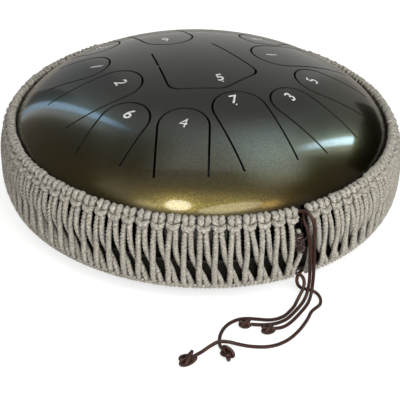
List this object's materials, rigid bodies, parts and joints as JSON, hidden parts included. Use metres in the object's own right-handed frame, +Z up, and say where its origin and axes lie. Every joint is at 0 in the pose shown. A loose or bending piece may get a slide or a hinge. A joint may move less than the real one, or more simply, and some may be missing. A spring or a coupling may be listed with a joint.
{
  "type": "tongue drum",
  "caption": "Round steel tongue drum with a domed slotted top, numbered tongues, a flat pan with a sound hole, and a knotted cord cover with drawstring tails.",
  "frame": {"origin": "on the floor, under the centre of the drum", "axes": "+Z up along the drum's axis, -Y towards the player, +X to the player's right"},
  "size_m": [0.3424, 0.4058, 0.117],
  "materials": {
    "dome_lacquer": "gloss",
    "pan_lacquer": "satin",
    "weld_steel": "ground",
    "foot_rubber": "matte",
    "cotton_cord": "matte",
    "satin_cord": "satin"
  },
  "bodies": {
    "drum": {"top_shell": "dome_lacquer", "bottom_shell": "pan_lacquer", "seam_weld": "weld_steel", "foot_front_left": "foot_rubber", "foot_front_right": "foot_rubber", "foot_back_right": "foot_rubber", "foot_back_left": "foot_rubber", "cord_cover": "cotton_cord", "top_drawstring": "satin_cord", "bottom_drawstring": "satin_cord", "closing_strand": "cotton_cord", "seam_wrap": "satin_cord", "top_tail_right": "satin_cord", "top_tail_left": "satin_cord", "bottom_tail_left": "satin_cord", "bottom_tail_right": "satin_cord", "knot_top_right": "satin_cord", "knot_top_left": "satin_cord", "knot_bottom_left": "satin_cord", "knot_bottom_right": "satin_cord"},
    "tongue_low_5_blade": {"tongue_low_5": "dome_lacquer"},
    "tongue_low_6_blade": {"tongue_low_6": "dome_lacquer"},
    "tongue_low_7_blade": {"tongue_low_7": "dome_lacquer"},
    "tongue_1_blade": {"tongue_1": "dome_lacquer"},
    "tongue_2_blade": {"tongue_2": "dome_lacquer"},
    "tongue_3_blade": {"tongue_3": "dome_lacquer"},
    "tongue_4_blade": {"tongue_4": "dome_lacquer"},
    "tongue_5_blade": {"tongue_5": "dome_lacquer"},
    "tongue_6_blade": {"tongue_6": "dome_lacquer"},
    "tongue_7_blade": {"tongue_7": "dome_lacquer"},
    "tongue_high_1_blade": {"tongue_high_1": "dome_lacquer"},
    "tongue_high_2_blade": {"tongue_high_2": "dome_lacquer"},
    "tongue_high_3_blade": {"tongue_high_3": "dome_lacquer"}
  },
  "joints": [
    {"name": "tongue_low_5_flex", "type": "hinge", "parent": "drum", "child": "tongue_low_5_blade", "pos_m": [-0.01892, 0.03194, 0.11426], "axis": [0.8988, 0.4384, 0], "range_deg": [-0.4, 0.4], "stiffness_Nm_per_rad": 231},
    {"name": "tongue_low_6_flex", "type": "hinge", "parent": "drum", "child": "tongue_low_6_blade", "pos_m": [-0.05838, 0.11846, 0.08873], "axis": [0.91, 0.4147, 0], "range_deg": [-0.4, 0.4], "stiffness_Nm_per_rad": 227},
    {"name": "tongue_low_7_flex", "type": "hinge", "parent": "drum", "child": "tongue_low_7_blade", "pos_m": [0.05206, -0.11693, 0.09089], "axis": [-0.9135, -0.4067, 0], "range_deg": [-0.4, 0.4], "stiffness_Nm_per_rad": 221},
    {"name": "tongue_1_flex", "type": "hinge", "parent": "drum", "child": "tongue_1_blade", "pos_m": [0.11593, 0.06312, 0.08876], "axis": [0.4848, -0.8746, 0], "range_deg": [-0.4, 0.4], "stiffness_Nm_per_rad": 326},
    {"name": "tongue_2_flex", "type": "hinge", "parent": "drum", "child": "tongue_2_blade", "pos_m": [-0.11496, -0.05421, 0.09134], "axis": [-0.4618, 0.887, 0], "range_deg": [-0.4, 0.4], "stiffness_Nm_per_rad": 252},
    {"name": "tongue_3_flex", "type": "hinge", "parent": "drum", "child": "tongue_3_blade", "pos_m": [0.1086, -0.07872, 0.08755], "axis": [-0.6626, -0.749, 0], "range_deg": [-0.4, 0.4], "stiffness_Nm_per_rad": 245},
    {"name": "tongue_4_flex", "type": "hinge", "parent": "drum", "child": "tongue_4_blade", "pos_m": [-0.0135, -0.1325, 0.08809], "axis": [-1, 0, 0], "range_deg": [-0.4, 0.4], "stiffness_Nm_per_rad": 222},
    {"name": "tongue_5_flex", "type": "hinge", "parent": "drum", "child": "tongue_5_blade", "pos_m": [0.13759, -0.01086, 0.08519], "axis": [-0.165, -0.9863, 0], "range_deg": [-0.4, 0.4], "stiffness_Nm_per_rad": 291},
    {"name": "tongue_6_flex", "type": "hinge", "parent": "drum", "child": "tongue_6_blade", "pos_m": [-0.07668, -0.11084, 0.08717], "axis": [-0.8788, 0.4772, 0], "range_deg": [-0.4, 0.4], "stiffness_Nm_per_rad": 254},
    {"name": "tongue_7_flex", "type": "hinge", "parent": "drum", "child": "tongue_7_blade", "pos_m": [0.07056, 0.1116, 0.08874], "axis": [0.8572, -0.515, 0], "range_deg": [-0.4, 0.4], "stiffness_Nm_per_rad": 306},
    {"name": "tongue_high_1_flex", "type": "hinge", "parent": "drum", "child": "tongue_high_1_blade", "pos_m": [-0.12749, 0.01231, 0.09085], "axis": [0.0611, 0.9981, 0], "range_deg": [-0.4, 0.4], "stiffness_Nm_per_rad": 215},
    {"name": "tongue_high_2_flex", "type": "hinge", "parent": "drum", "child": "tongue_high_2_blade", "pos_m": [-0.10928, 0.07407, 0.08875], "axis": [0.5736, 0.8191, 0], "range_deg": [-0.4, 0.4], "stiffness_Nm_per_rad": 101},
    {"name": "tongue_high_3_flex", "type": "hinge", "parent": "drum", "child": "tongue_high_3_blade", "pos_m": [0.00691, 0.13182, 0.08876], "axis": [0.9986, -0.0523, 0], "range_deg": [-0.4, 0.4], "stiffness_Nm_per_rad": 93}
  ]
}
